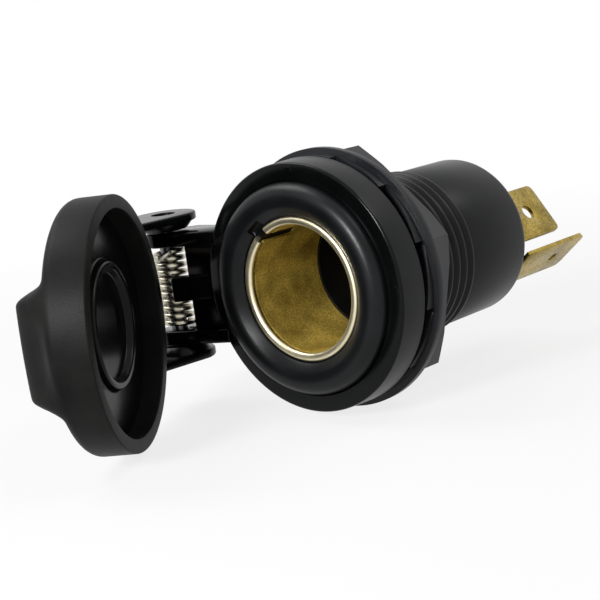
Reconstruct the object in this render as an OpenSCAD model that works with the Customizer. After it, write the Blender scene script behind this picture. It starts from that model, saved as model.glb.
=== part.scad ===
// Panel socket for 12 volt plugs, with a sprung lid and a ring nut behind the panel.
// Millimetres. +Y is the axis of the socket and points into the panel, +Z runs up
// along the hinge pin. The origin is on the axis, on the face that seats on the panel.

/* [Socket body] */
// Plastic wall of the barrel around the brass well
body_wall = 2.85; // [2.2:0.05:3.6]
// Room behind the floor of the well for the ends of the terminals
rear_room = 4.75; // [3.6:0.05:14]
// Wall at the rear end of the barrel
end_wall = 2.2; // [1.4:0.1:3]
// How far the crests of the thread stand out from the barrel
thread_over = 0.4; // [0.2:0.05:0.7]
// Pitch of the thread
thread_pitch = 2; // [1.5:0.1:3]
// Depth of the thread
thread_depth = 0.7; // [0.4:0.05:1]
// Where the thread ends, measured from the panel face
thread_end = 22.7; // [18:0.1:26]
// Width of the domed front flange around the lip of the well
flange_w = 5.55; // [4.9:0.05:6.4]
// How far the domed flange stands proud of the bezel
flange_proud = 2.1; // [1:0.1:3]

/* [Bezel with the hinge arms] */
// Width of the glossy ring around the flange
bezel_w = 3; // [2.3:0.1:6]
// How much wider the bezel is at the panel
bezel_taper = 0.2; // [0:0.05:0.6]
// Thickness of the bezel
bezel_t = 5.8; // [5:0.1:8]
// Depth of the counterbore that takes the flange
flange_seat = 2.8; // [2:0.1:3.4]
// Distance from the rim of the bezel to the hinge pin
pin_out = 8.6; // [8:0.1:13]
// How far the pin lies in front of the bezel face
pin_front = 0.6; // [0:0.1:1.4]
// Clear width between the two hinge arms
arm_gap = 14.6; // [12:0.1:16]
// Thickness of each hinge arm
arm_t = 2.4; // [1.6:0.1:3]
// Radius of the round end of each arm
arm_end_r = 3.4; // [2.8:0.1:4]
// Width of the stop tongue between the arms
tongue_w = 4.2; // [2:0.1:8]

/* [Ring nut] */
// How far the corners of the hexagon stand out from the thread
nut_wall = 7.2; // [5.8:0.1:11]
// How far the round flange stands out past those corners
nut_rim = 0.05; // [0:0.05:2]
// Thickness of the round flange
nut_flange_t = 1.3; // [0.8:0.1:2]
// Length of the nut without its teeth
nut_len = 6.2; // [4:0.1:9]
// Height of the locking teeth
tooth_h = 1.8; // [0.8:0.1:2.4]
// Number of locking teeth
tooth_n = 12; // [8:1:16]
// Angle of the first tooth tip
tooth_angle = 18; // [0:1:30]
// Angle of the first corner of the hexagon
hex_angle = 17; // [0:1:60]

/* [Well] */
// Inner radius of the brass well
well_r = 10.55; // [10.4:0.05:10.8]
// Wall of the brass well
shell_wall = 0.5; // [0.3:0.05:0.6]
// Width of the rolled lip
lip_w = 1.4; // [1:0.05:1.8]
// Depth of the brass well, measured from its lip
shell_depth = 17; // [14:0.5:22]
// Depth of the whole well, measured from the lip to its floor
well_depth = 36; // [33:0.5:38]
// Thickness of the floor that carries the centre contact
carrier_floor = 2.4; // [1.6:0.1:3]
// Radius of the centre contact disc
contact_r = 4.6; // [3.7:0.1:6]
// Radius of the shank of the centre rivet
shank_r = 1.6; // [1.2:0.1:2]

/* [Terminals] */
// Thickness of both terminal blades
blade_t = 0.8; // [0.6:0.1:1]
// Width of the positive blade
pos_w = 10; // [7:0.1:11]
// How far the positive blade stands behind the barrel
pos_out = 16; // [8:0.5:20]
// Distance from the axis to the plane of the positive blade
pos_off = 7.1; // [6.4:0.1:7.4]
// Direction in which the positive blade is offset
pos_angle = 35; // [30:1:40]
// How far the positive blade is shifted sideways
pos_shift = 2.6; // [0:0.1:3]
// Radius of the hole in the positive blade
pos_hole_r = 1.35; // [0.8:0.05:2]
// Width of the negative blade
neg_w = 9; // [6:0.1:10]
// How far the negative blade stands behind the barrel
neg_out = 19; // [10:0.5:24]
// Direction in which the negative blade is offset
neg_angle = -50; // [-60:1:-45]
// How far the negative blade is shifted sideways
neg_shift = 3.7; // [0:0.1:4]
// Radius of the hole in the negative blade
neg_hole_r = 0.95; // [0.6:0.05:1.6]

/* [Hinge and spring] */
// Radius of the hinge pin
pin_r = 1.4; // [1.1:0.05:1.6]
// Diameter of the spring wire
wire_d = 0.95; // [0.7:0.05:1]
// Mean radius of the spring coil
coil_r = 2.45; // [2.3:0.05:2.5]
// Number of turns of the spring
coil_n = 10; // [6:1:12]

/* [Lid] */
// Wall of the lid around its recess
lid_wall = 2.3; // [1.8:0.1:3]
// Height of the side wall of the lid cover
lid_wall_h = 6; // [5.4:0.1:9]
// Depth of the recess from the rim to the plate
recess_depth = 3.4; // [2.6:0.1:3.6]
// Thickness of the inner plate
plate_t = 1.2; // [0.8:0.1:1.6]
// Distance from the raised ring on the plate to the wall of the recess
ring_in = 7.7; // [4:0.1:10]
// Height of the raised ring
ring_h = 1.3; // [0.6:0.1:1.5]
// Radius of the round ends of the two lugs
lug_r = 5.6; // [4.5:0.1:6]
// Thickness of each lug
lug_t = 2.7; // [2:0.1:3.4]
// Length of the thumb grip at its ridge
grip_len = 17; // [12:0.5:20]
// How far the grip stands out of the cover
grip_out = 5.4; // [3:0.1:7]
// Angle by which the lid stands open
lid_open = 58; // [0:1:110]

/* [Hidden] */
$fn = 96;
// Clearances: between a pin or shank and its hole, and between other faces
fit = 0.05;
gap = 0.3;
eps = 0.01;

// Places along the axis
front_y = -bezel_t;
seat_y = front_y + flange_seat;
lip_t = 0.6;
lip_y = front_y - 0.55;
shell_end = lip_y + shell_depth;
floor_y = lip_y + well_depth;
carrier_end = floor_y + carrier_floor;
barrel_len = carrier_end + rear_room + end_wall;
washer_t = 0.5;

// Radii, from the well outwards
carrier_r = well_r - 0.25;
shell_r = well_r + shell_wall;
lip_r = well_r + lip_w;
bore_r = shell_r + 0.1;
barrel_r = bore_r + body_wall;
thread_r = barrel_r + thread_over;
flange_r = lip_r + flange_w;
bezel_r = flange_r + bezel_w;
nut_corner_r = thread_r + nut_wall;
nut_flange_r = nut_corner_r + nut_rim;
recess_r = flange_r + gap;
lid_r = recess_r + lid_wall;
ring_r = recess_r - ring_in;
nut_y = tooth_h + 0.2;
collar_len = 4.2;
crest_w = 0.25 * thread_pitch;

// Hinge
pin_x = bezel_r + pin_out;
pin_y = front_y - pin_front;
arm_in = arm_gap / 2;
arm_out = arm_in + arm_t;
lug_in = arm_out + gap;
lug_out = lug_in + lug_t;
pin_half = lug_out - 0.5;
web_x = pin_x - 4.1;
coil_clear = coil_r + wire_d / 2 + 0.55;
coil_half = arm_in - gap - wire_d / 2;
leg_r = wire_d / 2 + fit;

// Lid, drawn closed and then turned open about the pin
rim_y = front_y - gap;
floor_lid = rim_y - recess_depth;
cover_floor = floor_lid - plate_t;
cover_back = rim_y - lid_wall_h - 1.2;
grip_half = grip_len / 2;

// A solid of revolution about the axis of the socket, from points [radius, y]
module turned(points) {
    rotate([-90, 0, 0]) rotate_extrude() polygon(points);
}

// A plain round bar or hole along the axis, from y0 to y1
module disc(r, y0, y1) {
    translate([0, y0, 0]) rotate([-90, 0, 0]) cylinder(r = r, h = y1 - y0);
}

// A flat outline drawn in X and Y, made thick along Z from z0 to z1
module slab(z0, z1) {
    translate([0, 0, z0]) linear_extrude(z1 - z0) children();
}

// What is drawn on the upper side, and again on the lower side
module both_sides() {
    children();
    mirror([0, 0, 1]) children();
}

module at_pin() {
    translate([-pin_x, pin_y, 0]) children();
}

module opened() {
    at_pin() rotate([0, 0, -lid_open]) translate([pin_x, -pin_y, 0]) children();
}

// Points of a quarter round, from one angle to another
function arc(cx, cy, r, a0, a1, n = 8) =
    [for (i = [0:n]) let (a = a0 + (a1 - a0) * i / n) [cx + r * cos(a), cy + r * sin(a)]];

// Thread profile: one ridge for every turn, outwards from the root
thread_start = collar_len + thread_pitch / 2;
thread_n = floor((thread_end - thread_start) / thread_pitch);
root_r = thread_r - thread_depth;
thread_points = [for (i = [0:thread_n - 1]) let (y = thread_start + i * thread_pitch)
    each [[root_r, y], [thread_r, y + thread_pitch / 2 - crest_w],
          [thread_r, y + thread_pitch / 2], [root_r, y + thread_pitch - crest_w]]];
thread_stop = thread_start + thread_n * thread_pitch;

module body_form() {
    dome_y = front_y - flange_proud;
    turned(concat(
        [[0, seat_y], [0, front_y], [lip_r + 0.15, front_y],
         [lip_r + 0.15, lip_y], [lip_r + 1.9, dome_y + 0.35]],
        arc(lip_r + 3, dome_y + 1, 1, 230, 270, 4),
        arc(flange_r - 2.1, dome_y + 2.1, 2.1, 270, 360, 8),
        [[flange_r, seat_y], [thread_r, seat_y], [thread_r, collar_len]],
        thread_points,
        [[root_r, thread_stop], [barrel_r, thread_stop + 0.6]],
        arc(barrel_r - 1.5, barrel_len - 1.5, 1.5, 0, 90, 6),
        [[0, barrel_len]]));
}

// Black moulded body: domed flange, threaded shank and closed barrel
module housing() {
    color([0.12, 0.12, 0.13]) difference() {
        body_form();
        // stepped bore for the brass well and the contact carrier
        disc(lip_r + 0.15, front_y - 5, lip_y + lip_t);
        disc(bore_r, front_y - 5, carrier_end);
        disc(well_r - 1.2, carrier_end - eps, barrel_len - end_wall);
        // slots for the two blades in the end wall
        positive_place() translate([-pos_w / 2 - 0.15, carrier_end - 1, -blade_t / 2 - 0.1])
            cube([pos_w + 0.3, barrel_len, blade_t + 0.2]);
        negative_place() translate([-strap_w / 2 - 0.15, strap_y0 - 0.3, -0.05])
            cube([strap_w + 0.3, barrel_len - strap_y0 + 1, blade_t + 0.15]);
    }
}

// Glossy bezel with the two hinge arms, the web between them and the stop tongue
module bezel_ring() {
    back_r = bezel_r + bezel_taper;
    color([0.06, 0.06, 0.07]) difference() {
        union() {
            turned([[thread_r + 0.1, 0], [thread_r + 0.1, seat_y], [flange_r + 0.12, seat_y],
                    [flange_r + 0.12, front_y], [bezel_r - 0.3, front_y],
                    [bezel_r, front_y + 0.3], [back_r, -0.4], [back_r - 0.4, 0]]);
            both_sides() slab(arm_in, arm_out) arm_outline();
            slab(-arm_in - eps, arm_in + eps) web_outline();
            slab(-tongue_w / 2, tongue_w / 2) tongue_outline();
        }
        at_pin() translate([0, 0, -arm_out - 1]) cylinder(r = pin_r + 0.03, h = 2 * arm_out + 2);
        at_pin() translate([0, 0, -arm_in]) cylinder(r = coil_clear, h = 2 * arm_in);
        // hole that takes the fixed leg of the spring
        translate([-web_x - 2, pin_y + coil_r, -coil_half]) rotate([0, 90, 0])
            cylinder(r = leg_r, h = 4.5);
    }
}

module arm_outline() {
    root_x = -bezel_r + 3;
    back_x = -pin_x + 2.2;
    translate([-pin_x, pin_y]) circle(r = arm_end_r);
    polygon([[root_x, front_y], [-pin_x + 0.4, pin_y - arm_end_r + 0.02],
             [-pin_x - arm_end_r + 0.3, pin_y + 1], [-pin_x - arm_end_r + 1.2, pin_y + 2.6],
             [back_x, -0.1], [root_x, -0.1]]);
}

module web_outline() {
    root_x = -flange_r - 1;
    polygon([[root_x, front_y + 0.5], [-bezel_r - 1, front_y + 0.2], [-web_x, pin_y - 0.1],
             [-web_x - 0.5, pin_y + 3], [-web_x + 0.6, -0.1], [root_x, -0.1]]);
}

module tongue_outline() {
    polygon([[-flange_r - 1, front_y + 1], [-bezel_r - 0.6, front_y + 0.2],
             [-pin_x + 2.8, pin_y - 3.1], [-pin_x + 2.5, pin_y - 2.2], [-web_x, pin_y + 2]]);
}

// Ring nut: hexagon, round flange and ramped locking teeth on its front face
module panel_nut() {
    back_y = nut_y + nut_len;
    chamfer = 1.1;
    color([0.1, 0.1, 0.11]) difference() {
        union() {
            disc(nut_flange_r, nut_y, nut_y + nut_flange_t);
            intersection() {
                translate([0, nut_y + 0.2, 0]) rotate([-90, 0, 0]) rotate([0, 0, -hex_angle])
                    cylinder(r = nut_corner_r, h = nut_len - 0.2, $fn = 6);
                turned([[0, nut_y - 1], [nut_corner_r + 0.1, nut_y - 1],
                        [nut_corner_r + 0.1, back_y - chamfer],
                        [nut_corner_r - 2 * chamfer, back_y + 0.1], [0, back_y + 0.1]]);
            }
            for (i = [0:tooth_n - 1]) rotate([0, -tooth_angle - i * 360 / tooth_n, 0]) ramp_tooth();
        }
        disc(thread_r + fit, -1, back_y + 1);
    }
}

// One saw tooth: it stands highest at its square tip and falls along the rim
module ramp_tooth() {
    inner_r = thread_r + 2;
    outer_r = nut_flange_r - 1.05;
    sweep = 360 / tooth_n - 2;
    run = outer_r * sin(sweep);
    difference() {
        rotate([-90, 0, 0]) rotate([0, 0, -sweep]) rotate_extrude(angle = sweep)
            translate([inner_r, nut_y - tooth_h]) square([outer_r - inner_r, tooth_h + 0.4]);
        mirror([0, 0, 1]) rotate([0, 90, 0]) linear_extrude(nut_flange_r + 1)
            polygon([[-3, nut_y - tooth_h * (1 + 3 / run)], [run + 3, nut_y + tooth_h * 3 / run - 0.1],
                     [run + 3, -9], [-3, -9]]);
    }
}

// Brass well with its rolled lip, cut by one slit
module well_shell() {
    color([0.72, 0.6, 0.3]) difference() {
        turned([[well_r, lip_y + 0.5], [well_r + 0.35, lip_y], [lip_r - 0.2, lip_y - 0.05],
                [lip_r, lip_y + 0.15], [lip_r, lip_y + lip_t - 0.05], [lip_r - 0.1, lip_y + lip_t],
                [shell_r, lip_y + lip_t], [shell_r, shell_end], [well_r, shell_end]]);
        // the slit runs through the lip and some way down the wall
        rotate([0, -127.5, 0]) translate([0, lip_y - 1, -1.25]) cube([lip_r + 1, 9, 2.5]);
        rivet_places() translate([0, 0, -3]) cylinder(r = rivet_r + fit, h = 6, $fn = 32);
    }
}

// Where the strap of the negative blade lies on the outside of the well
strap_w = 5;
strap_y0 = shell_end - 9;
strap_off = shell_r;
rivet_r = 0.8;
rivet_y = [2.2, 6.6];

module negative_place() {
    rotate([0, -neg_angle, 0]) translate([strap_off, 0, 0]) rotate([0, 90, 0]) children();
}

module positive_place() {
    rotate([0, -pos_angle, 0]) translate([pos_off, 0, 0]) rotate([0, 90, 0])
        translate([pos_shift, 0, 0]) children();
}

module rivet_places() {
    for (y = rivet_y) negative_place() translate([0, strap_y0 + y, 0]) children();
}

// Two small rivets that hold the strap on the well, flush inside it
module shell_rivets() {
    color([0.75, 0.68, 0.45]) rivet_places() translate([0, 0, -shell_wall])
        cylinder(r = rivet_r, h = shell_wall + blade_t, $fn = 32);
}

// Negative terminal: a strap beside the well that widens to the blade outside
module negative_blade() {
    wide_y = barrel_len + 0.3;
    tip_y = barrel_len + neg_out;
    low = -neg_shift - neg_w / 2;
    high = -neg_shift + neg_w / 2;
    half = strap_w / 2;
    color([0.74, 0.64, 0.34]) negative_place() difference() {
        linear_extrude(blade_t) polygon(concat(
            [[low, wide_y], [-half, wide_y], [-half, strap_y0], [half, strap_y0], [half, wide_y],
             [high, wide_y]],
            arc(high - 1.4, tip_y - 1.4, 1.4, 0, 90, 5),
            arc(low + 1.4, tip_y - 1.4, 1.4, 90, 180, 5)));
        rivet_hole_pair();
        translate([-neg_shift, tip_y - 6.5, -1]) cylinder(r = neg_hole_r, h = blade_t + 2, $fn = 48);
    }
}

module rivet_hole_pair() {
    for (y = rivet_y) translate([0, strap_y0 + y, -1])
        cylinder(r = rivet_r + fit, h = blade_t + 2, $fn = 32);
}

// Positive terminal: a foot under the carrier floor, bent square into the blade
module positive_blade() {
    foot_y = carrier_end;
    foot_w = 0.8 * pos_w;
    tip_y = barrel_len + pos_out;
    color([0.74, 0.64, 0.34]) difference() {
        union() {
            positive_place() translate([0, 0, -blade_t / 2]) linear_extrude(blade_t)
                polygon(concat([[pos_w / 2, foot_y], [-pos_w / 2, foot_y]],
                    arc(-pos_w / 2 + 1.2, tip_y - 1.2, 1.2, 180, 90, 5),
                    arc(pos_w / 2 - 1.2, tip_y - 1.2, 1.2, 90, 0, 5)));
            rotate([0, -pos_angle, 0]) translate([-shank_r - 1.4, foot_y, -foot_w / 2 - 1.5])
                cube([pos_off + shank_r + 1.4, blade_t, foot_w]);
        }
        disc(shank_r + fit, foot_y - 1, foot_y + blade_t + 1);
        positive_place() translate([0, tip_y - 5.6, -2])
            cylinder(r = pos_hole_r, h = 4, $fn = 48);
    }
}

// Black insert that lines the rear of the well and carries the centre contact
module contact_carrier() {
    color([0.16, 0.16, 0.16]) difference() {
        turned([[0, floor_y], [carrier_r, floor_y], [carrier_r, shell_end + 0.2],
                [bore_r - 0.1, shell_end + 0.2], [bore_r - 0.1, carrier_end], [0, carrier_end]]);
        disc(shank_r + fit, floor_y - 1, carrier_end + 1);
        negative_place() translate([-strap_w / 2 - 0.15, 0, -0.1])
            cube([strap_w + 0.3, barrel_len, blade_t + 0.6]);
    }
}

// Height of the dome of the contact disc, and of the rivet's heads
dome_h = 1.5;
head_h = 0.9;

// Domed contact disc on the carrier floor
module centre_contact() {
    color([0.78, 0.68, 0.4]) difference() {
        turned([[0, floor_y - dome_h], [shank_r + 1, floor_y - dome_h],
                [contact_r - 1.4, floor_y - 0.6 * dome_h], [contact_r - 1.2, floor_y - 0.4 * dome_h],
                [contact_r, floor_y - dome_h / 3], [contact_r, floor_y], [0, floor_y]]);
        disc(shank_r + fit, floor_y - dome_h - 1, floor_y + 1);
    }
}

module centre_rivet() {
    head_y = floor_y - dome_h;
    tail_y = carrier_end + blade_t + washer_t;
    color([0.8, 0.72, 0.45]) turned([[0, head_y - head_h], [shank_r - 0.4, head_y - 0.9 * head_h],
        [shank_r + 0.5, head_y - head_h / 3], [shank_r + 0.7, head_y], [shank_r, head_y],
        [shank_r, tail_y], [shank_r + 0.9, tail_y], [shank_r + 0.7, tail_y + 0.7 * head_h],
        [0, tail_y + head_h]]);
}

// Spring washer that keeps the foot tight on the rivet
module spring_washer() {
    y0 = carrier_end + blade_t;
    hole_r = shank_r + fit;
    rim_r = shank_r + 1.3;
    color([0.7, 0.7, 0.72]) turned([[hole_r, y0], [rim_r, y0], [rim_r, y0 + washer_t],
        [hole_r, y0 + washer_t]]);
}

module hinge_pin() {
    color([0.7, 0.7, 0.7]) at_pin() translate([0, 0, -pin_half])
        cylinder(r = pin_r, h = 2 * pin_half);
}

// Torsion spring: a swept round wire, its two legs run into the web and the cover
coil_steps = 20;
wire_sides = 8;
leg_grip = 1.5;
leg_fixed = pin_x - web_x + leg_grip;
leg_lid = pin_x - sqrt(lid_r * lid_r - coil_half * coil_half) + leg_grip;
lid_dir = -lid_open;
turn_end = coil_n * 360 + 180 - lid_open;
coil_path = concat(
    [[leg_fixed, coil_r, -coil_half]],
    [for (i = [0:coil_steps * coil_n + round(coil_steps * (180 - lid_open) / 360)])
        let (s = i / (coil_steps * coil_n + round(coil_steps * (180 - lid_open) / 360)),
             a = 90 + s * turn_end)
        [coil_r * cos(a), coil_r * sin(a), -coil_half + 2 * coil_half * s]],
    [[leg_lid * cos(lid_dir) + coil_r * sin(lid_dir), leg_lid * sin(lid_dir) - coil_r * cos(lid_dir),
      coil_half]]);

function unit(v) = v / norm(v);
function path_dir(p, i) = unit(p[min(i + 1, len(p) - 1)] - p[max(i - 1, 0)]);
function ring_at(p, i, r, n) = let (t = path_dir(p, i), b = unit(cross(t, [0, 0, 1])), c = cross(b, t))
    [for (k = [0:n - 1]) p[i] + r * (b * cos(k * 360 / n) + c * sin(k * 360 / n))];

// A closed tube of round section along a path that never runs along Z
module wire(p, r, n) {
    m = len(p);
    points = [for (i = [0:m - 1]) each ring_at(p, i, r, n)];
    sides = [for (i = [0:m - 2], k = [0:n - 1]) let (a = i * n + k, b = i * n + (k + 1) % n)
        each [[a, b, b + n], [a, b + n, a + n]]];
    ends = [[for (k = [n - 1:-1:0]) k], [for (k = [0:n - 1]) (m - 1) * n + k]];
    polyhedron(points, concat(sides, ends));
}

module torsion_spring() {
    color([0.75, 0.73, 0.66]) at_pin() wire(coil_path, wire_d / 2, wire_sides);
}

// Inner plate with the raised ring and the two lugs that turn on the pin
module lid_plate() {
    color([0.08, 0.08, 0.09]) opened() difference() {
        union() {
            turned([[0, cover_floor], [recess_r, cover_floor], [recess_r, floor_lid],
                    [ring_r, floor_lid], [ring_r - 0.3, floor_lid + ring_h],
                    [ring_r - 1.3, floor_lid + ring_h], [ring_r - 1.6, floor_lid], [0, floor_lid]]);
            both_sides() difference() {
                union() {
                    slab(lug_in + boss_h, lug_out) lug_outline();
                    at_pin() translate([0, 0, lug_in])
                        cylinder(r1 = lug_r - 1.8, r2 = lug_r - 0.5, h = boss_h + 0.1);
                }
                disc(recess_r + 0.2, floor_lid, rim_y + 20);
            }
        }
        at_pin() translate([0, 0, -lug_out - 1]) cylinder(r = pin_r + fit, h = 2 * lug_out + 2);
    }
}

// How far the conical boss of a lug reaches down from the lug to the arm
boss_h = lug_t - 1.4;

module lug_outline() {
    q = lug_r - 0.05;
    translate([-pin_x, pin_y]) circle(r = lug_r);
    polygon([[-pin_x + q * cos(114), pin_y + q * sin(114)], [-lid_r + 1, rim_y - 1],
             [-lid_r + 9, rim_y - 1], [-lid_r + 9, cover_floor + 0.2],
             [-lid_r + 3, cover_floor - 0.4],
             [-pin_x + q * cos(-95), pin_y + q * sin(-95)]]);
}

// Soft cover with a thick wall, a domed back and the thumb grip
module lid_cover() {
    color([0.22, 0.22, 0.22]) opened() difference() {
        union() {
            cover_form();
            grip();
        }
        // windows for the lugs
        both_sides() translate([-lid_r - 1, cover_floor - 0.8, lug_in + boss_h - gap])
            cube([10, rim_y - cover_floor, lug_t - boss_h + 2 * gap]);
        // hole that takes the free leg of the spring
        translate([-lid_r - 1, pin_y - coil_r, coil_half]) rotate([0, 90, 0])
            cylinder(r = leg_r + 0.1, h = 4);
    }
}

module cover_form() {
    turned(concat([[0, cover_floor], [recess_r, cover_floor], [recess_r, rim_y + 0]],
        [[lid_r - 0.25, rim_y], [lid_r, rim_y - 0.25]],
        [for (i = [0:6]) let (a = i * 90 / 6)
            [lid_r - 1.8 + 1.8 * cos(a), cover_back + 1.8 - 1.8 * sin(a)]],
        [[lid_r * 0.6, cover_back - 0.55], [lid_r * 0.3, cover_back - 0.85],
         [0, cover_back - 0.95]]));
}

// The grip is what two outlines have in common: its section, and its front view
module grip() {
    top_y = cover_back - grip_out;
    foot_x = lid_r - 12.6;
    ridge_x = lid_r - 6.1;
    intersection() {
        slab(-grip_half - 4, grip_half + 4) polygon(concat(
            [[foot_x, cover_back + 1], [foot_x, cover_back - 0.6]],
            arc(foot_x, top_y + 0.8, cover_back - 1.4 - top_y, 90, 45, 5),
            arc(ridge_x, top_y + 1.7, 1.7, 180, 360, 8),
            [[lid_r - 0.8, cover_back - 0.6], [lid_r - 0.3, cover_back + 1.2],
             [lid_r - 0.3, cover_back + 2]]));
        rotate([0, 90, 0]) linear_extrude(2 * lid_r) polygon([
            [grip_half + 2.6, cover_back + 2], [grip_half + 2.2, cover_back - 0.4],
            [grip_half + 0.9, cover_back - 1.6], [grip_half + 0.1, top_y + 1],
            [grip_half - 0.9, top_y], [-grip_half + 0.9, top_y], [-grip_half - 0.1, top_y + 1],
            [-grip_half - 0.9, cover_back - 1.6], [-grip_half - 2.2, cover_back - 0.4],
            [-grip_half - 2.6, cover_back + 2]]);
    }
}

housing();
bezel_ring();
panel_nut();
well_shell();
shell_rivets();
contact_carrier();
centre_contact();
centre_rivet();
spring_washer();
positive_blade();
negative_blade();
hinge_pin();
torsion_spring();
lid_plate();
lid_cover();
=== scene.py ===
import math

import bmesh
import bpy
from mathutils import Matrix, Vector


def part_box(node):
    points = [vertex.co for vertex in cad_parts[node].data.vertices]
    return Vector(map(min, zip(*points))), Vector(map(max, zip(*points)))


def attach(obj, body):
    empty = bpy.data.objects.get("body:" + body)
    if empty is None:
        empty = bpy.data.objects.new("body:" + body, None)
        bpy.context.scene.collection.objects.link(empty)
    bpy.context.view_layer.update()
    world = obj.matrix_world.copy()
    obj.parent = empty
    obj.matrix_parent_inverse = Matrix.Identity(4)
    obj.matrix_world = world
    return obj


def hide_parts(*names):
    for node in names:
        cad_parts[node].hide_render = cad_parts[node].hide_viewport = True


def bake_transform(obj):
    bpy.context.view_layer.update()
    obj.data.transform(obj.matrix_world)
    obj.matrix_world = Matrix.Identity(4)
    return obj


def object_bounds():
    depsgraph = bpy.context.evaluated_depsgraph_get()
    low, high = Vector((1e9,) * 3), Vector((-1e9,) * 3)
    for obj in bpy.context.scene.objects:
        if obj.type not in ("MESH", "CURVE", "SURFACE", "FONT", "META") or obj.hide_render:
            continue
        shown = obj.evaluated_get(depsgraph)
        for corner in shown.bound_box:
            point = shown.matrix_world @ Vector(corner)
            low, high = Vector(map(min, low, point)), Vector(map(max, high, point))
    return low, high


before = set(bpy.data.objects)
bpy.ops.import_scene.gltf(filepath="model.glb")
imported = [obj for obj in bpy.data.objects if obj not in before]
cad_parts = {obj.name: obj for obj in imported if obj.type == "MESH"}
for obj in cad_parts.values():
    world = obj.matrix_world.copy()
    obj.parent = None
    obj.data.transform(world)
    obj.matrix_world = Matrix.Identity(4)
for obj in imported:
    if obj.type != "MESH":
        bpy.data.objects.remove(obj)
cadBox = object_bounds()
print("frame loaded")

# +Y is the axis of the socket and points into the panel, +Z runs along the hinge pin.
# Sizes are in millimetres and become metres when a point is made.
mm = 0.001
smoothAngle = 35  # degrees, up to which a surface is shaded smooth
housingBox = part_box("housing")
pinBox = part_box("hinge_pin")
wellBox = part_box("well_shell")
domeFront = housingBox[0].y / mm
barrelEnd = housingBox[1].y / mm
lipFront = wellBox[0].y / mm
wellEnd = wellBox[1].y / mm
pinPlace = (pinBox[0] + pinBox[1]) / 2
pinX, pinY = pinPlace.x / mm, pinPlace.y / mm

# the camera of the photograph, in front of the mouth, to its right and a little above
view = {
    "place": (160.56, -178.91, 42.69),
    "look": (-0.6691, 0.7196, -0.1858),
    "up": (-0.0260, 0.2272, 0.9735),
    "lens": 89.79,
    "shift": (-0.0013, 0.0023),
}
cameraData = bpy.data.cameras.new("photoCamera")
cameraData.lens = view["lens"]
cameraData.shift_x, cameraData.shift_y = view["shift"]
cameraData.clip_start = 0.01
camera = bpy.data.objects.new("photoCamera", cameraData)
look = Vector(view["look"]).normalized()
right = look.cross(Vector(view["up"])).normalized()
camera.matrix_world = (Matrix.Translation(Vector(view["place"]) * mm)
                       @ Matrix((right, right.cross(look), -look)).transposed().to_4x4())
bpy.context.scene.collection.objects.link(camera)
bpy.context.scene.camera = camera
bpy.context.scene.view_settings.view_transform = "Standard"


def linear(hexColour):  # an sRGB hex value as linear red, green, blue and alpha
    parts = [int(hexColour[i:i + 2], 16) / 255 for i in (0, 2, 4)]
    return [p / 12.92 if p <= 0.04045 else ((p + 0.055) / 1.055) ** 2.4 for p in parts] + [1]


def addNode(tree, kind, settings={}, links={}):  # sockets go by name or number
    node = tree.nodes.new(kind)
    for key, value in settings.items():
        if isinstance(key, int) or key in node.inputs:
            node.inputs[key].default_value = value
        else:
            setattr(node, key, value)
    for key, source in links.items():
        tree.links.new(source, node.inputs[key])
    return node


def newMaterial(name):  # an empty material, with the position on the piece in metres
    material = bpy.data.materials.new(name)
    material.use_nodes = True
    tree = material.node_tree
    tree.nodes.clear()
    place = addNode(tree, "ShaderNodeTexCoord").outputs["Object"]
    return material, tree, place


def mouldedPlastic(name, colour, colourWorn, roughness, grit, depth, level):
    # Moulded ABS or nylon: nearly black, with a slow flow pattern from the mould
    # and a fine grit. grit is the size of a grain in mm and depth its height in mm.
    # level is below the usual 0.5, because the white room shows in every reflection.
    material, tree, place = newMaterial(name)
    flow = addNode(tree, "ShaderNodeTexNoise", {"Scale": 1 / (7 * mm), "Detail": 4.0}, {"Vector": place})
    grain = addNode(tree, "ShaderNodeTexNoise",
                    {"Scale": 1 / (grit * mm), "Detail": 3.0, "Roughness": 0.6}, {"Vector": place})
    worn = addNode(tree, "ShaderNodeMapRange", {"From Min": 0.35, "From Max": 0.75},
                   {"Value": flow.outputs[0]})
    tint = addNode(tree, "ShaderNodeMix", {"data_type": "RGBA", 6: linear(colour), 7: linear(colourWorn)},
                   {0: worn.outputs[0]})
    rough = addNode(tree, "ShaderNodeMapRange",
                    {"To Min": roughness - 0.05, "To Max": roughness + 0.08}, {"Value": grain.outputs[0]})
    bump = addNode(tree, "ShaderNodeBump", {"Strength": 0.35, "Distance": depth * mm},
                   {"Height": grain.outputs[0]})
    shader = addNode(tree, "ShaderNodeBsdfPrincipled",
                     {"IOR": 1.52, "Specular IOR Level": level},
                     {"Base Color": tint.outputs[2], "Roughness": rough.outputs[0],
                      "Normal": bump.outputs[0]})
    addNode(tree, "ShaderNodeOutputMaterial", {}, {0: shader.outputs[0]})
    return material


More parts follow.
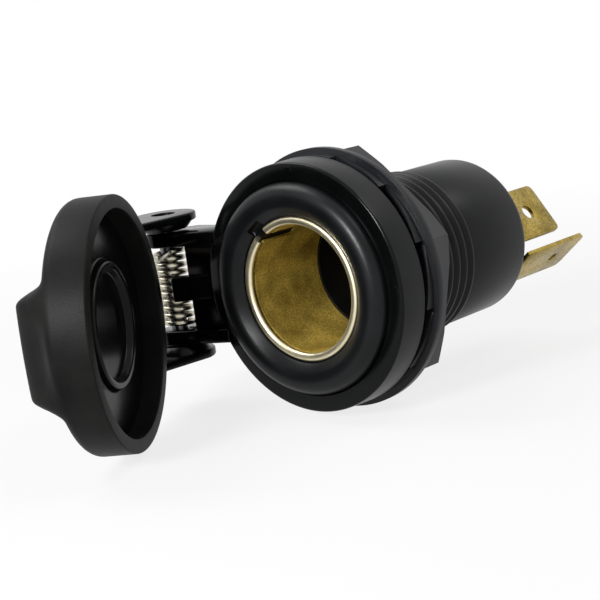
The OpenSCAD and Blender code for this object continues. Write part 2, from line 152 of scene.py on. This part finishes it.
def sheetBrass(name, colour, tarnish, roughness, grain, dent, metallic=1.0):
    # Drawn or stamped brass sheet: a crystalline mottle, tarnish in patches and the
    # slow waves that drawing leaves. grain is in mm, dent the height of a wave in mm.
    # Real brass has metallic 1; below that the lamps also light its colour directly.
    material, tree, place = newMaterial(name)
    patches = addNode(tree, "ShaderNodeTexNoise", {"Scale": 1 / (5.5 * mm), "Detail": 2.0, "Roughness": 0.5},
                      {"Vector": place})
    crystals = addNode(tree, "ShaderNodeTexNoise",
                       {"Scale": 1 / (grain * mm), "Detail": 2.0, "Roughness": 0.7}, {"Vector": place})
    waves = addNode(tree, "ShaderNodeTexNoise", {"Scale": 1 / (8 * mm), "Detail": 1.0}, {"Vector": place})
    both = addNode(tree, "ShaderNodeMath", {"operation": "MULTIPLY"},
                   {0: patches.outputs[0], 1: crystals.outputs[0]})
    amount = addNode(tree, "ShaderNodeMapRange", {"From Min": 0.14, "From Max": 0.4},
                     {"Value": both.outputs[0]})
    tint = addNode(tree, "ShaderNodeMix", {"data_type": "RGBA", 6: linear(tarnish), 7: linear(colour)},
                   {0: amount.outputs[0]})
    rough = addNode(tree, "ShaderNodeMapRange",
                    {"From Min": 0.3, "From Max": 0.7,
                     "To Min": roughness + 0.1, "To Max": roughness - 0.06},
                    {"Value": crystals.outputs[0]})
    slow = addNode(tree, "ShaderNodeBump", {"Strength": 1.0, "Distance": dent * mm},
                   {"Height": waves.outputs[0]})
    bump = addNode(tree, "ShaderNodeBump", {"Strength": 0.5, "Distance": 0.03 * mm},
                   {"Height": crystals.outputs[0], "Normal": slow.outputs[0]})
    shader = addNode(tree, "ShaderNodeBsdfPrincipled", {"Metallic": metallic},
                     {"Base Color": tint.outputs[2], "Roughness": rough.outputs[0],
                      "Normal": bump.outputs[0]})
    addNode(tree, "ShaderNodeOutputMaterial", {}, {0: shader.outputs[0]})
    return material


def plainMetal(name, colour, colourDull, roughness, patch):
    # Drawn wire, a turned pin or the lip of the well, whose pale colour is a painted highlight: bright, with
    # small dull patches.
    # patch is the size of a patch in mm.
    material, tree, place = newMaterial(name)
    patches = addNode(tree, "ShaderNodeTexNoise", {"Scale": 1 / (patch * mm), "Detail": 4.0},
                      {"Vector": place})
    tint = addNode(tree, "ShaderNodeMix", {"data_type": "RGBA", 6: linear(colourDull), 7: linear(colour)},
                   {0: patches.outputs[0]})
    rough = addNode(tree, "ShaderNodeMapRange", {"To Min": roughness + 0.1, "To Max": roughness - 0.08},
                    {"Value": patches.outputs[0]})
    shader = addNode(tree, "ShaderNodeBsdfPrincipled", {"Metallic": 1.0},
                     {"Base Color": tint.outputs[2], "Roughness": rough.outputs[0]})
    addNode(tree, "ShaderNodeOutputMaterial", {}, {0: shader.outputs[0]})
    return material


# Satin black ABS of the body: broad soft highlights with a faint grain
bodyAbs = mouldedPlastic("satinBlackAbs", "070809", "101113", 0.32, 0.3, 0.02, 0.18)
# Bezel in gloss black ABS from a polished mould: sharp highlights, hardly any grain
bezelAbs = mouldedPlastic("glossBlackAbs", "040505", "080909", 0.14, 0.6, 0.006, 0.12)
# Nut in black nylon: a little lighter and duller than the body
nutNylon = mouldedPlastic("satinBlackNylon", "0c0d0f", "15161a", 0.36, 0.35, 0.02, 0.22)
# Inner plate of the lid, a harder ABS with a semi-gloss face
lidAbs = mouldedPlastic("semiGlossBlackAbs", "060707", "0b0c0c", 0.22, 0.7, 0.004, 0.12)
# Cover in soft thermoplastic rubber: matte, dark grey, no clear highlight
coverRubber = mouldedPlastic("matteBlackRubber", "050505", "121211", 0.48, 0.3, 0.08, 0.1)
# Insert behind the brass, matte black nylon
carrierNylon = mouldedPlastic("matteBlackNylon", "0b0b0a", "131312", 0.36, 0.5, 0.03, 0.25)
# Deep-drawn brass of the well, yellow and mottled. It has half of a real metal's
# metallic, because the wall renders too dark with all of it.
wellBrass = sheetBrass("drawnBrass", "ffdf6e", "8f7830", 0.36, 0.3, 0.3, 0.5)
# Stamped brass blades, flat and more olive
bladeBrass = sheetBrass("stampedBrass", "bda558", "7c6a2e", 0.36, 0.45, 0.04)
# Turned contact rivet in bright brass
rivetBrass = plainMetal("turnedBrass", "dfc67e", "a68d47", 0.26, 0.8)
# Rolled brass lip of the well, shaded as metal with broad soft highlights; its nearly white colour is a
# painted highlight on the brass
lipBrassPaintedHighlight = plainMetal("paleBrassPaintedHighlight", "f6efd6", "d8cb9f", 0.36, 1.2)
# Zinc-plated spring wire: pale grey, with dull patches
springSteel = plainMetal("zincPlatedWire", "dcd6c4", "8f8a78", 0.24, 0.7)
# Turned steel of the pin, darker and duller than the wire
pinSteel = plainMetal("turnedSteel", "8d8d8d", "5f5f5f", 0.30, 0.9)
print("materials made")

finishes = {
    "housing": bodyAbs, "bezel_ring": bezelAbs, "panel_nut": nutNylon, "well_shell": wellBrass,
    "shell_rivets": rivetBrass, "contact_carrier": carrierNylon, "centre_contact": bladeBrass,
    "centre_rivet": rivetBrass, "spring_washer": springSteel, "positive_blade": bladeBrass,
    "negative_blade": bladeBrass, "hinge_pin": pinSteel, "torsion_spring": springSteel,
    "lid_plate": lidAbs, "lid_cover": coverRubber,
}
for node, finish in finishes.items():
    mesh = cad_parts[node].data
    mesh.materials.clear()
    mesh.materials.append(finish)


def wire(outline, rounds={}, closed=True):
    # A wire through points [radius or x, y]; rounds gives a corner's radius by its number
    bm = bmesh.new()
    corners = [bm.verts.new((a * mm, b * mm, 0)) for a, b in outline]
    for i in range(0 if closed else 1, len(corners)):
        bm.edges.new((corners[i - 1], corners[i]))
    for i, size in rounds.items():
        bmesh.ops.bevel(bm, geom=[corners[i]], offset=size * mm, offset_type="OFFSET", segments=5,
                        profile=0.5, affect="VERTICES", clamp_overlap=True, material=-1)
    return bm


def turned(outline, rounds={}, closed=True, steps=160):  # spun about the axis of the socket
    bm = wire(outline, rounds, closed)
    bmesh.ops.spin(bm, geom=bm.verts[:] + bm.edges[:], cent=(0, 0, 0), axis=(0, 1, 0),
                   angle=math.tau, steps=steps, use_merge=True)
    bmesh.ops.remove_doubles(bm, verts=bm.verts, dist=1e-6)
    bmesh.ops.recalc_face_normals(bm, faces=bm.faces)
    return bm


def softened(bm, width, segments=3, angle=30):  # rounds every edge sharper than angle
    sharp = [e for e in bm.edges if len(e.link_faces) == 2 and e.calc_face_angle() > math.radians(angle)]
    bmesh.ops.bevel(bm, geom=sharp, offset=width * mm, offset_type="OFFSET", segments=segments,
                    profile=0.5, affect="EDGES", clamp_overlap=True, material=-1)
    return bm


def slab(outline, low, high, soft=0.0):
    # An outline in X and Y made thick along Z, with its edges rounded by soft mm
    bm = wire(outline)
    bmesh.ops.contextual_create(bm, geom=bm.edges[:])
    made = bmesh.ops.extrude_face_region(bm, geom=bm.faces[:])["geom"]
    bmesh.ops.translate(bm, verts=[v for v in made if isinstance(v, bmesh.types.BMVert)],
                        vec=(0, 0, (high - low) * mm))
    bmesh.ops.translate(bm, verts=bm.verts, vec=(0, 0, low * mm))
    bmesh.ops.recalc_face_normals(bm, faces=bm.faces)
    if soft:
        softened(bm, soft)
    return bm


def rod(radius, low, high, across, steps=48):  # a round bar along Z at the point across
    bm = bmesh.new()
    bmesh.ops.create_cone(bm, cap_ends=True, segments=steps, radius1=radius * mm, radius2=radius * mm,
                          depth=(high - low) * mm)
    bmesh.ops.translate(bm, verts=bm.verts, vec=(across[0] * mm, across[1] * mm, (low + high) / 2 * mm))
    return bm


def joined(*parts):
    whole = bmesh.new()
    for part in parts:
        mesh = bpy.data.meshes.new("part")
        part.to_mesh(mesh)
        part.free()
        whole.from_mesh(mesh)
        bpy.data.meshes.remove(mesh)
    return whole


def bothSides(bm):  # the same again below, through Z = 0
    other = bm.copy()
    bmesh.ops.scale(other, verts=other.verts, vec=(1, 1, -1))
    bmesh.ops.reverse_faces(other, faces=other.faces)
    return joined(bm, other)


def swungOpen(bm):  # from the closed lid to the way it stands in the photograph
    bmesh.ops.rotate(bm, verts=bm.verts, cent=pinPlace,
                     matrix=Matrix.Rotation(math.radians(-lidOpen), 3, "Z"))
    return bm


def aboutAxis(bm, angle):  # turned about the axis of the socket, from X towards Z
    bmesh.ops.rotate(bm, verts=bm.verts, cent=(0, 0, 0),
                     matrix=Matrix.Rotation(-math.radians(angle), 3, "Y"))
    return bm


def shaped(name, bm, material, body, smooth=smoothAngle):  # makes the piece, smooth up to an angle
    mesh = bpy.data.meshes.new(name)
    bm.to_mesh(mesh)
    bm.free()
    mesh.materials.append(material)
    mesh.shade_smooth()
    mesh.set_sharp_from_angle(angle=math.radians(smooth))
    piece = bpy.data.objects.new(name, mesh)
    bpy.context.scene.collection.objects.link(piece)
    if body:
        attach(piece, body)
    return piece


def carved(piece, cutter):  # cuts the cutter's form out of the piece, and keeps the result
    knife = shaped("knife", cutter, piece.data.materials[0], None)
    cut = piece.modifiers.new("cut", "BOOLEAN")
    cut.object = knife
    cut.solver = "EXACT"
    cut.use_self = True
    result = bpy.data.meshes.new_from_object(piece.evaluated_get(bpy.context.evaluated_depsgraph_get()))
    piece.modifiers.clear()
    result.set_sharp_from_angle(angle=math.radians(smoothAngle))
    piece.data = result
    bpy.data.objects.remove(knife)


def arc(x, y, radius, start, end, steps=12):  # points of an arc, in degrees
    turns = [math.radians(start + (end - start) * i / steps) for i in range(steps + 1)]
    return [(x + radius * math.cos(t), y + radius * math.sin(t)) for t in turns]


def easing(value, low, high):  # 0 below low, 1 above high, smooth in between
    t = min(max((value - low) / (high - low), 0), 1)
    return t * t * (3 - 2 * t)


lidOpen = 58  # degrees

print("body")
# Domed flange with the sloped mouth, shank, barrel and the stepped bore behind the lip
body = {"flange": 17.5, "seat": -3.0, "lipRoom": 12.1, "mouth": 14.1, "shank": 14.4, "root": 13.7,
        "collarEnd": 4.2, "threadEnd": 22.7, "barrel": 14.0, "bore": 11.15, "liner": 9.35, "floor": 32.05,
        "lipSeat": 0.65, "lipStep": 0.1, "runIn": 0.7, "runOut": 0.4, "barrelStep": 0.2, "endWall": 2.2}
shell = turned([
    (body["bore"], body["floor"]), (body["bore"], lipFront + body["lipSeat"]),
    (body["lipRoom"], lipFront + body["lipSeat"]), (body["lipRoom"], lipFront + body["lipStep"]),
    (body["mouth"], domeFront), (body["flange"], domeFront),
    (body["flange"], body["seat"]), (body["shank"], body["seat"]), (body["shank"], body["collarEnd"]),
    (body["root"], body["collarEnd"] + body["runIn"]), (body["root"], body["threadEnd"] - body["runOut"]),
    (body["barrel"], body["threadEnd"] + body["barrelStep"]), (body["barrel"], barrelEnd),
    (0, barrelEnd), (0, barrelEnd - body["endWall"]), (body["liner"], barrelEnd - body["endWall"]),
    (body["liner"], body["floor"])],
    {3: 0.25, 4: 0.9, 5: 2.1, 6: 0.2, 12: 1.5})
socketBody = shaped("socketBody", shell, bodyAbs, "socket")
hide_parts("housing")
# pocket in the mouth, where the key of the well sits behind the slit of its lip
pocket = {"in": 11.6, "out": 13.4, "outBehind": 12.9, "depth": 0.5, "half": 1.6, "angle": 126}
pocketForm = slab([(pocket["in"], domeFront - 1), (pocket["out"], domeFront - 1),
                   (pocket["outBehind"], lipFront + pocket["depth"]),
                   (pocket["in"], lipFront + pocket["depth"])], -pocket["half"], pocket["half"], 0.25)
carved(socketBody, aboutAxis(pocketForm, pocket["angle"]))

# Moulded thread: one ridge wound about the shank, closed flat at both ends
thread = {"pitch": 2.0, "start": 5.0, "turns": 8.6, "root": 13.55, "crest": 14.4, "crestWidth": 0.45,
          "flank": 0.62, "foot": 1.69, "edge": 0.15, "steps": 96}
ridge = wire([(thread["root"], 0), (thread["crest"], thread["flank"]),
              (thread["crest"], thread["flank"] + thread["crestWidth"]), (thread["root"], thread["foot"])],
             {1: thread["edge"], 2: thread["edge"]})
bmesh.ops.translate(ridge, verts=ridge.verts, vec=(0, thread["start"] * mm, 0))
bmesh.ops.spin(ridge, geom=ridge.verts[:] + ridge.edges[:], cent=(0, 0, 0), axis=(0, -1, 0),
               angle=math.tau * thread["turns"], steps=round(thread["steps"] * thread["turns"]),
               dvec=(0, thread["pitch"] / thread["steps"] * mm, 0))
bmesh.ops.contextual_create(ridge, geom=[e for e in ridge.edges if e.is_boundary][:8])
bmesh.ops.holes_fill(ridge, edges=[e for e in ridge.edges if e.is_boundary])
bmesh.ops.recalc_face_normals(ridge, faces=ridge.faces)
shankThread = shaped("shankThread", ridge, bodyAbs, "socket", 50)

print("bezel")
bezel = {"hole": 14.5, "seat": -3.0, "counterbore": 17.62, "front": -5.8, "rim": 20.5, "back": 20.7,
         "armIn": 7.3, "armOut": 9.7, "armRound": 3.4, "tongue": 2.1, "web": -25.0, "joint": -0.2,
         "armRoot": -17.8, "armEnd": -27.0, "webRoot": -18.5, "webBend": -21.5, "tongueBend": -21.1,
         "coilRoom": 3.475, "satinFrom": 20, "satinStep": 0.35,
         "mark": 0.75, "markSlope": 0.12, "markPlace": 19.15, "markDepth": 0.2, "markAngles": (0.8, 88)}
ring = turned([(bezel["hole"], 0), (bezel["hole"], bezel["seat"]), (bezel["counterbore"], bezel["seat"]),
               (bezel["counterbore"], bezel["front"]), (bezel["rim"], bezel["front"]), (bezel["back"], -0.4),
               (bezel["back"] - 0.4, 0)], {3: 0.2, 4: 0.4, 5: 0.15})
bezelRing = shaped("bezelRing", ring, bezelAbs, "socket")
bezelRing.data.materials.append(bodyAbs)
for face in bezelRing.data.polygons:  # the outer wall is satin, not gloss
    behind = face.center.y > (bezel["front"] + bezel["satinStep"]) * mm
    face.material_index = int(behind and face.center.xz.length > bezel["satinFrom"] * mm)
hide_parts("bezel_ring")
marks = []
for angle in bezel["markAngles"]:  # round witness marks that the mould's ejector pins leave on the front
    mark = bmesh.new()
    bmesh.ops.create_cone(mark, cap_ends=True, segments=32, radius1=bezel["mark"] * mm,
                          radius2=(bezel["mark"] - bezel["markSlope"]) * mm, depth=bezel["markDepth"] * mm)
    bmesh.ops.rotate(mark, verts=mark.verts, cent=(0, 0, 0), matrix=Matrix.Rotation(math.pi / 2, 3, "X"))
    bmesh.ops.translate(mark, verts=mark.verts, vec=(bezel["markPlace"] * mm, bezel["front"] * mm, 0))
    marks.append(aboutAxis(mark, angle))
ejectorMarks = shaped("ejectorMarks", joined(*marks), bezelAbs, "socket")
armOutline = ([(bezel["armRoot"], bezel["front"])] + arc(pinX, pinY, bezel["armRound"], -84, -222)
              + [(bezel["armEnd"], bezel["joint"]), (bezel["armRoot"], bezel["joint"])])
arms = bothSides(slab(armOutline, bezel["armIn"], bezel["armOut"], 0.3))
bezelArms = shaped("bezelArms", arms, bezelAbs, "socket")
webOutline = [(bezel["webRoot"], bezel["front"] + 0.4), (bezel["webBend"], bezel["front"] + 0.2),
              (bezel["web"], pinY - 0.1), (bezel["web"] - 0.4, pinY + 3),
              (bezel["web"] + 0.6, bezel["joint"]), (bezel["webRoot"], bezel["joint"])]
web = slab(webOutline, -bezel["armIn"] - 0.2, bezel["armIn"] + 0.2, 0.2)
bezelWeb = shaped("bezelWeb", web, bezelAbs, "socket")
carved(bezelWeb, rod(bezel["coilRoom"], -bezel["armIn"], bezel["armIn"], (pinX, pinY), 64))
tongueOutline = [(bezel["webRoot"], bezel["front"] + 0.9), (bezel["tongueBend"], bezel["front"] + 0.2),
                 (pinX + 2.8, pinY - 3.1), (pinX + 2.5, pinY - 2.2), (bezel["web"], pinY + 2)]
tongue = slab(tongueOutline, -bezel["tongue"], bezel["tongue"], 0.25)
stopTongue = shaped("stopTongue", tongue, bezelAbs, "socket")

print("nut and blades")


def softCopy(name, node, material, body, width, angle=30):
    # the CAD node again with its edges rounded, which is what catches the light
    bm = bmesh.new()
    bm.from_mesh(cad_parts[node].data)
    bmesh.ops.remove_doubles(bm, verts=bm.verts, dist=2e-6)
    bmesh.ops.dissolve_limit(bm, angle_limit=math.radians(0.6), verts=bm.verts, edges=bm.edges)
    softened(bm, width, 2, angle)
    piece = shaped(name, bm, material, body, 30)
    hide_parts(node)


softCopy("ringNut", "panel_nut", nutNylon, "nut", 0.14, 20)
softCopy("positiveBlade", "positive_blade", bladeBrass, "socket", 0.08)
softCopy("negativeBlade", "negative_blade", bladeBrass, "socket", 0.08)

print("well")
# Brass sleeve drawn with a rolled lip, and slit so that it grips its bore
well = {"inner": 10.55, "outer": 11.05, "lip": 11.95, "slitAngle": 127.5, "slit": 2.5,
        "slitIn": 9, "slitOut": 13, "slitEnd": 8, "lipDepth": 0.62, "paintedHighlightTo": 0.64,
        "reliefIn": 10.2, "reliefOut": 11.6, "reliefFrom": 0.7, "reliefTo": 1.25}
sleeve = turned([(well["inner"], wellEnd), (well["inner"], lipFront), (well["lip"], lipFront),
                 (well["lip"], lipFront + well["lipDepth"]),
                 (well["outer"], lipFront + well["lipDepth"]), (well["outer"], wellEnd)],
                {1: 0.66, 2: 0.52}, steps=200)
brassWell = shaped("brassWell", sleeve, wellBrass, "socket", 50)
slit = slab([(well["slitIn"], lipFront - 1), (well["slitOut"], lipFront - 1),
             (well["slitOut"], lipFront + well["slitEnd"]), (well["slitIn"], lipFront + well["slitEnd"])],
            -well["slit"] / 2, well["slit"] / 2)
carved(brassWell, aboutAxis(slit, well["slitAngle"]))
reliefFront, reliefBack = lipFront + well["reliefFrom"], lipFront + well["reliefTo"]
relief = turned([(well["reliefIn"], reliefFront), (well["reliefOut"], reliefFront),
                 (well["reliefOut"], reliefBack), (well["reliefIn"], reliefBack)])
carved(brassWell, aboutAxis(relief, 0))
# the faces of the lip, up to the given depth behind its front, take the pale brass: a painted highlight
brassWell.data.materials.append(lipBrassPaintedHighlight)
for face in brassWell.data.polygons:
    face.material_index = int(face.center.y < (lipFront + well["paintedHighlightTo"]) * mm)
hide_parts("well_shell")

print("spring")
# Torsion spring in plated wire: it winds up from the fixed leg to the leg in the lid
spring = {"wire": 0.95, "coil": 2.45, "half": 6.525, "turns": 10, "fixedLeg": 5.6, "lidLeg": 8.8,
          "steps": 28}
coil = bmesh.new()
bmesh.ops.create_circle(coil, radius=spring["wire"] / 2 * mm, segments=14)
bmesh.ops.rotate(coil, verts=coil.verts, cent=(0, 0, 0), matrix=Matrix.Rotation(math.pi / 2, 3, "Y"))
start = Vector((pinX, pinY + spring["coil"], -spring["half"])) * mm
bmesh.ops.translate(coil, verts=coil.verts, vec=start)
firstLoop = coil.edges[:]
wound = spring["turns"] + (180 - lidOpen) / 360
coilSteps = round(spring["steps"] * wound)
lastLoop = bmesh.ops.spin(coil, geom=coil.verts[:] + coil.edges[:], cent=pinPlace, axis=(0, 0, -1),
                          angle=math.tau * wound, steps=coilSteps,
                          dvec=(0, 0, 2 * spring["half"] / coilSteps * mm))["geom_last"]
lidWay = Vector((math.cos(math.radians(lidOpen)), -math.sin(math.radians(lidOpen)), 0))
for loop, leg in ((firstLoop, Vector((spring["fixedLeg"], 0, 0))),
                  ([e for e in lastLoop if isinstance(e, bmesh.types.BMEdge)], lidWay * spring["lidLeg"])):
    made = bmesh.ops.extrude_edge_only(coil, edges=loop)["geom"]
    bmesh.ops.translate(coil, verts=[v for v in made if isinstance(v, bmesh.types.BMVert)], vec=leg * mm)
bmesh.ops.holes_fill(coil, edges=[e for e in coil.edges if e.is_boundary])
bmesh.ops.recalc_face_normals(coil, faces=coil.faces)
closingSpring = shaped("closingSpring", coil, springSteel, None)
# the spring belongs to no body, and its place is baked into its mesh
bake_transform(closingSpring)
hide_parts("torsion_spring")

print("lid")
# The lid is drawn closed over the mouth and then swung open
plate = {"radius": 17.8, "back": -10.7, "face": -9.5, "ring": 10.1, "ringWidth": 1.3, "ringTop": -8.2,
         "lug": 5.6, "lugIn": 10.0, "lugOut": 12.7, "boss": 1.3, "root": -14.3, "pinSeat": 2.1,
         "seatDepth": 0.6, "lugFoot": (-17.1, -11.0), "lugFront": -7.4, "lugBend": -19.1}
disc = turned([(0, plate["back"]), (plate["radius"], plate["back"]), (plate["radius"], plate["face"]),
               (plate["ring"] + 0.2, plate["face"]), (plate["ring"] - 0.1, plate["ringTop"]),
               (plate["ring"] - plate["ringWidth"], plate["ringTop"]),
               (plate["ring"] - plate["ringWidth"] - 0.4, plate["face"]), (0, plate["face"])],
              {3: 0.3, 4: 0.35, 5: 0.35, 6: 0.3}, closed=False)
innerPlate = shaped("innerPlate", swungOpen(disc), lidAbs, "lid")
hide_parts("lid_plate")
lugOutline = (arc(pinX, pinY, plate["lug"], 67, 289, 32)
              + [plate["lugFoot"], (plate["root"], plate["back"]), (plate["root"], plate["lugFront"]),
                 (plate["lugBend"], plate["lugFront"])])
lug = slab(lugOutline, plate["lugIn"] + plate["boss"], plate["lugOut"], 0.3)
boss = bmesh.new()  # a cone on the inner side, wider towards the lug
bmesh.ops.create_cone(boss, cap_ends=True, segments=64, radius1=(plate["lug"] - 1.8) * mm,
                      radius2=(plate["lug"] - 0.5) * mm, depth=(plate["boss"] + 0.1) * mm)
bmesh.ops.translate(boss, verts=boss.verts,
                    vec=(pinPlace.x, pinPlace.y, (plate["lugIn"] + (plate["boss"] + 0.1) / 2) * mm))
lidLugs = shaped("lidLugs", swungOpen(bothSides(joined(lug, softened(boss, 0.15, 2)))), lidAbs, "lid")
# ribs that stiffen the lugs, on both sides of the stop tongue
bridge = {"left": -24.8, "right": -19.2, "back": -12.0, "front": -10.3, "low": 2.8, "high": 11.5}
bridgeOutline = [(bridge["left"], bridge["back"]), (bridge["right"], bridge["back"]),
                 (bridge["right"], bridge["front"]), (bridge["left"], bridge["front"])]
ribs = bothSides(slab(bridgeOutline, bridge["low"], bridge["high"], 0.3))
lidBridge = shaped("lidBridge", swungOpen(ribs), lidAbs, "lid")
pinSeats = bothSides(rod(plate["pinSeat"], plate["lugOut"] - plate["seatDepth"], plate["lugOut"] + 1,
                         (pinX, pinY)))
carved(lidLugs, pinSeats)

cover = {"radius": 20.1, "recess": 17.8, "rim": -6.1, "floor": -10.7, "back": -13.3, "crown": 0.95,
         "edge": 1.8, "grip": 4.6, "gripHalf": 7.2, "gripSlope": 3.2, "foot": 7.6, "ridge": 13.2,
         "ridgeEnd": 14.7, "gripEnd": 19.3, "ringStep": 0.3, "smoothings": 3}
edgeArc = arc(cover["radius"] - cover["edge"], cover["back"] + cover["edge"], cover["edge"], 0, -90, 7)
inner = cover["radius"] - cover["edge"]
rings = [inner - cover["ringStep"] * i for i in range(1, int(inner / cover["ringStep"]) + 1)]
domed = [(r, cover["back"] - cover["crown"] * (1 - (r / inner) ** 2)) for r in rings]
shell = turned([(0, cover["floor"]), (cover["recess"], cover["floor"]), (cover["recess"], cover["rim"]),
                (cover["radius"], cover["rim"])] + edgeArc + domed
               + [(0, cover["back"] - cover["crown"])], {2: 0.2, 3: 0.3}, closed=False, steps=256)
edgeLine = (cover["back"] + cover["edge"]) * mm
raised = []
for v in shell.verts:  # the thumb grip is pulled out of the domed back
    if v.co.y < edgeLine - 1e-6:
        x, z = v.co.x / mm, abs(v.co.z) / mm
        rise = (easing(x, cover["foot"], cover["ridge"])
                * (1 - easing(x, cover["ridgeEnd"], cover["gripEnd"])))
        side = 1 - easing(z, cover["gripHalf"], cover["gripHalf"] + cover["gripSlope"])
        v.co.y -= cover["grip"] * rise * side * easing(edgeLine - v.co.y, 0, cover["edge"] * mm) * mm
        raised.append(v)
for _ in range(cover["smoothings"]):
    bmesh.ops.smooth_vert(shell, verts=raised, factor=0.5, use_axis_y=True)
lidCover = shaped("lidCover", swungOpen(shell), coverRubber, "lid", 40)
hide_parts("lid_cover")

print("stage")
ground = {"half": 6, "under": 0.2 * mm, "shadeFrom": 80 * mm, "shadeTo": 260 * mm, "shade": 0.8}
floorMesh = bpy.data.meshes.new("floor")
bm = bmesh.new()
bmesh.ops.create_grid(bm, x_segments=1, y_segments=1, size=ground["half"])
bmesh.ops.translate(bm, verts=bm.verts, vec=(0, 0, cadBox[0].z - ground["under"]))
bm.to_mesh(floorMesh)
bm.free()
floor = bpy.data.objects.new("floor", floorMesh)
bpy.context.scene.collection.objects.link(floor)


def seenWhite(tree):  # 1 for what the eye sees, also in glass and gloss, and 0 for plain light
    ray = addNode(tree, "ShaderNodeLightPath")
    seen = addNode(tree, "ShaderNodeMath", {"operation": "MAXIMUM"},
                   {0: ray.outputs["Is Camera Ray"], 1: ray.outputs["Is Transmission Ray"]})
    return addNode(tree, "ShaderNodeMath", {"operation": "MAXIMUM"},
                   {0: seen.outputs[0], 1: ray.outputs["Is Glossy Ray"]}).outputs[0]


# Paper ground: the colour is pale, and what the eye sees of it is lifted to white, less
# so near the object, so that its shadow stays
paper, tree, place = newMaterial("palePaper")
diffuse = addNode(tree, "ShaderNodeBsdfDiffuse", {"Color": linear("d8d8d8")})
white = addNode(tree, "ShaderNodeEmission", {"Color": (1, 1, 1, 1), "Strength": 1.0})
away = addNode(tree, "ShaderNodeVectorMath", {"operation": "LENGTH"}, {0: place})
whiter = addNode(tree, "ShaderNodeMapRange",
                 {"From Min": ground["shadeFrom"], "From Max": ground["shadeTo"],
                  "To Min": ground["shade"], "To Max": 1.0},
                 {"Value": away.outputs["Value"]})
share = addNode(tree, "ShaderNodeMath", {"operation": "MULTIPLY"},
                {0: seenWhite(tree), 1: whiter.outputs[0]})
mixed = addNode(tree, "ShaderNodeMixShader", {}, {0: share.outputs[0], 1: diffuse.outputs[0],
                                                 2: white.outputs[0]})
addNode(tree, "ShaderNodeOutputMaterial", {}, {0: mixed.outputs[0]})
floorMesh.materials.append(paper)

# The studio: white to the eye and in every reflection, and lighting the object more
# from behind than from the side of the camera
room = {"bright": (-0.66, 0.70, 0.27), "from": -0.25, "to": 0.85, "dim": 0.05, "level": 0.42}
studio = bpy.data.worlds.new("studio")
bpy.context.scene.world = studio
studio.use_nodes = True
tree = studio.node_tree
tree.nodes.clear()
way = addNode(tree, "ShaderNodeTexCoord").outputs["Generated"]
behind = addNode(tree, "ShaderNodeVectorMath", {"operation": "DOT_PRODUCT", 1: room["bright"]},
                 {0: way})
lit = addNode(tree, "ShaderNodeMapRange",
              {"From Min": room["from"], "From Max": room["to"],
               "To Min": room["dim"], "To Max": room["level"]},
              {"Value": behind.outputs["Value"]})
strength = addNode(tree, "ShaderNodeMath", {"operation": "MAXIMUM"},
                   {0: seenWhite(tree), 1: lit.outputs[0]})
light = addNode(tree, "ShaderNodeBackground", {"Color": (1, 1, 1, 1)}, {"Strength": strength.outputs[0]})
addNode(tree, "ShaderNodeOutputWorld", {}, {0: light.outputs[0]})

# soft boxes: place and aim in mm, width and height in mm, power in watts
softBoxes = {
    "frontTop": {"place": (60, -400, 165), "aim": (0, 0, 0), "size": (110, 110), "power": 2.3},
    "topLeft": {"place": (-240, -100, 390), "aim": (0, 0, 0), "size": (240, 240), "power": 1.0},
    "topRight": {"place": (240, 120, 380), "aim": (0, 20, 0), "size": (300, 160), "power": 0.6},
}
for name, box in softBoxes.items():
    lamp = bpy.data.lights.new(name, "AREA")
    lamp.shape = "RECTANGLE"
    lamp.size, lamp.size_y = (s * mm for s in box["size"])
    lamp.energy = box["power"]
    holder = bpy.data.objects.new(name, lamp)
    holder.location = Vector(box["place"]) * mm
    holder.rotation_euler = ((Vector(box["aim"]) - Vector(box["place"])).to_track_quat("-Z", "Y")
                             .to_euler())
    bpy.context.scene.collection.objects.link(holder)
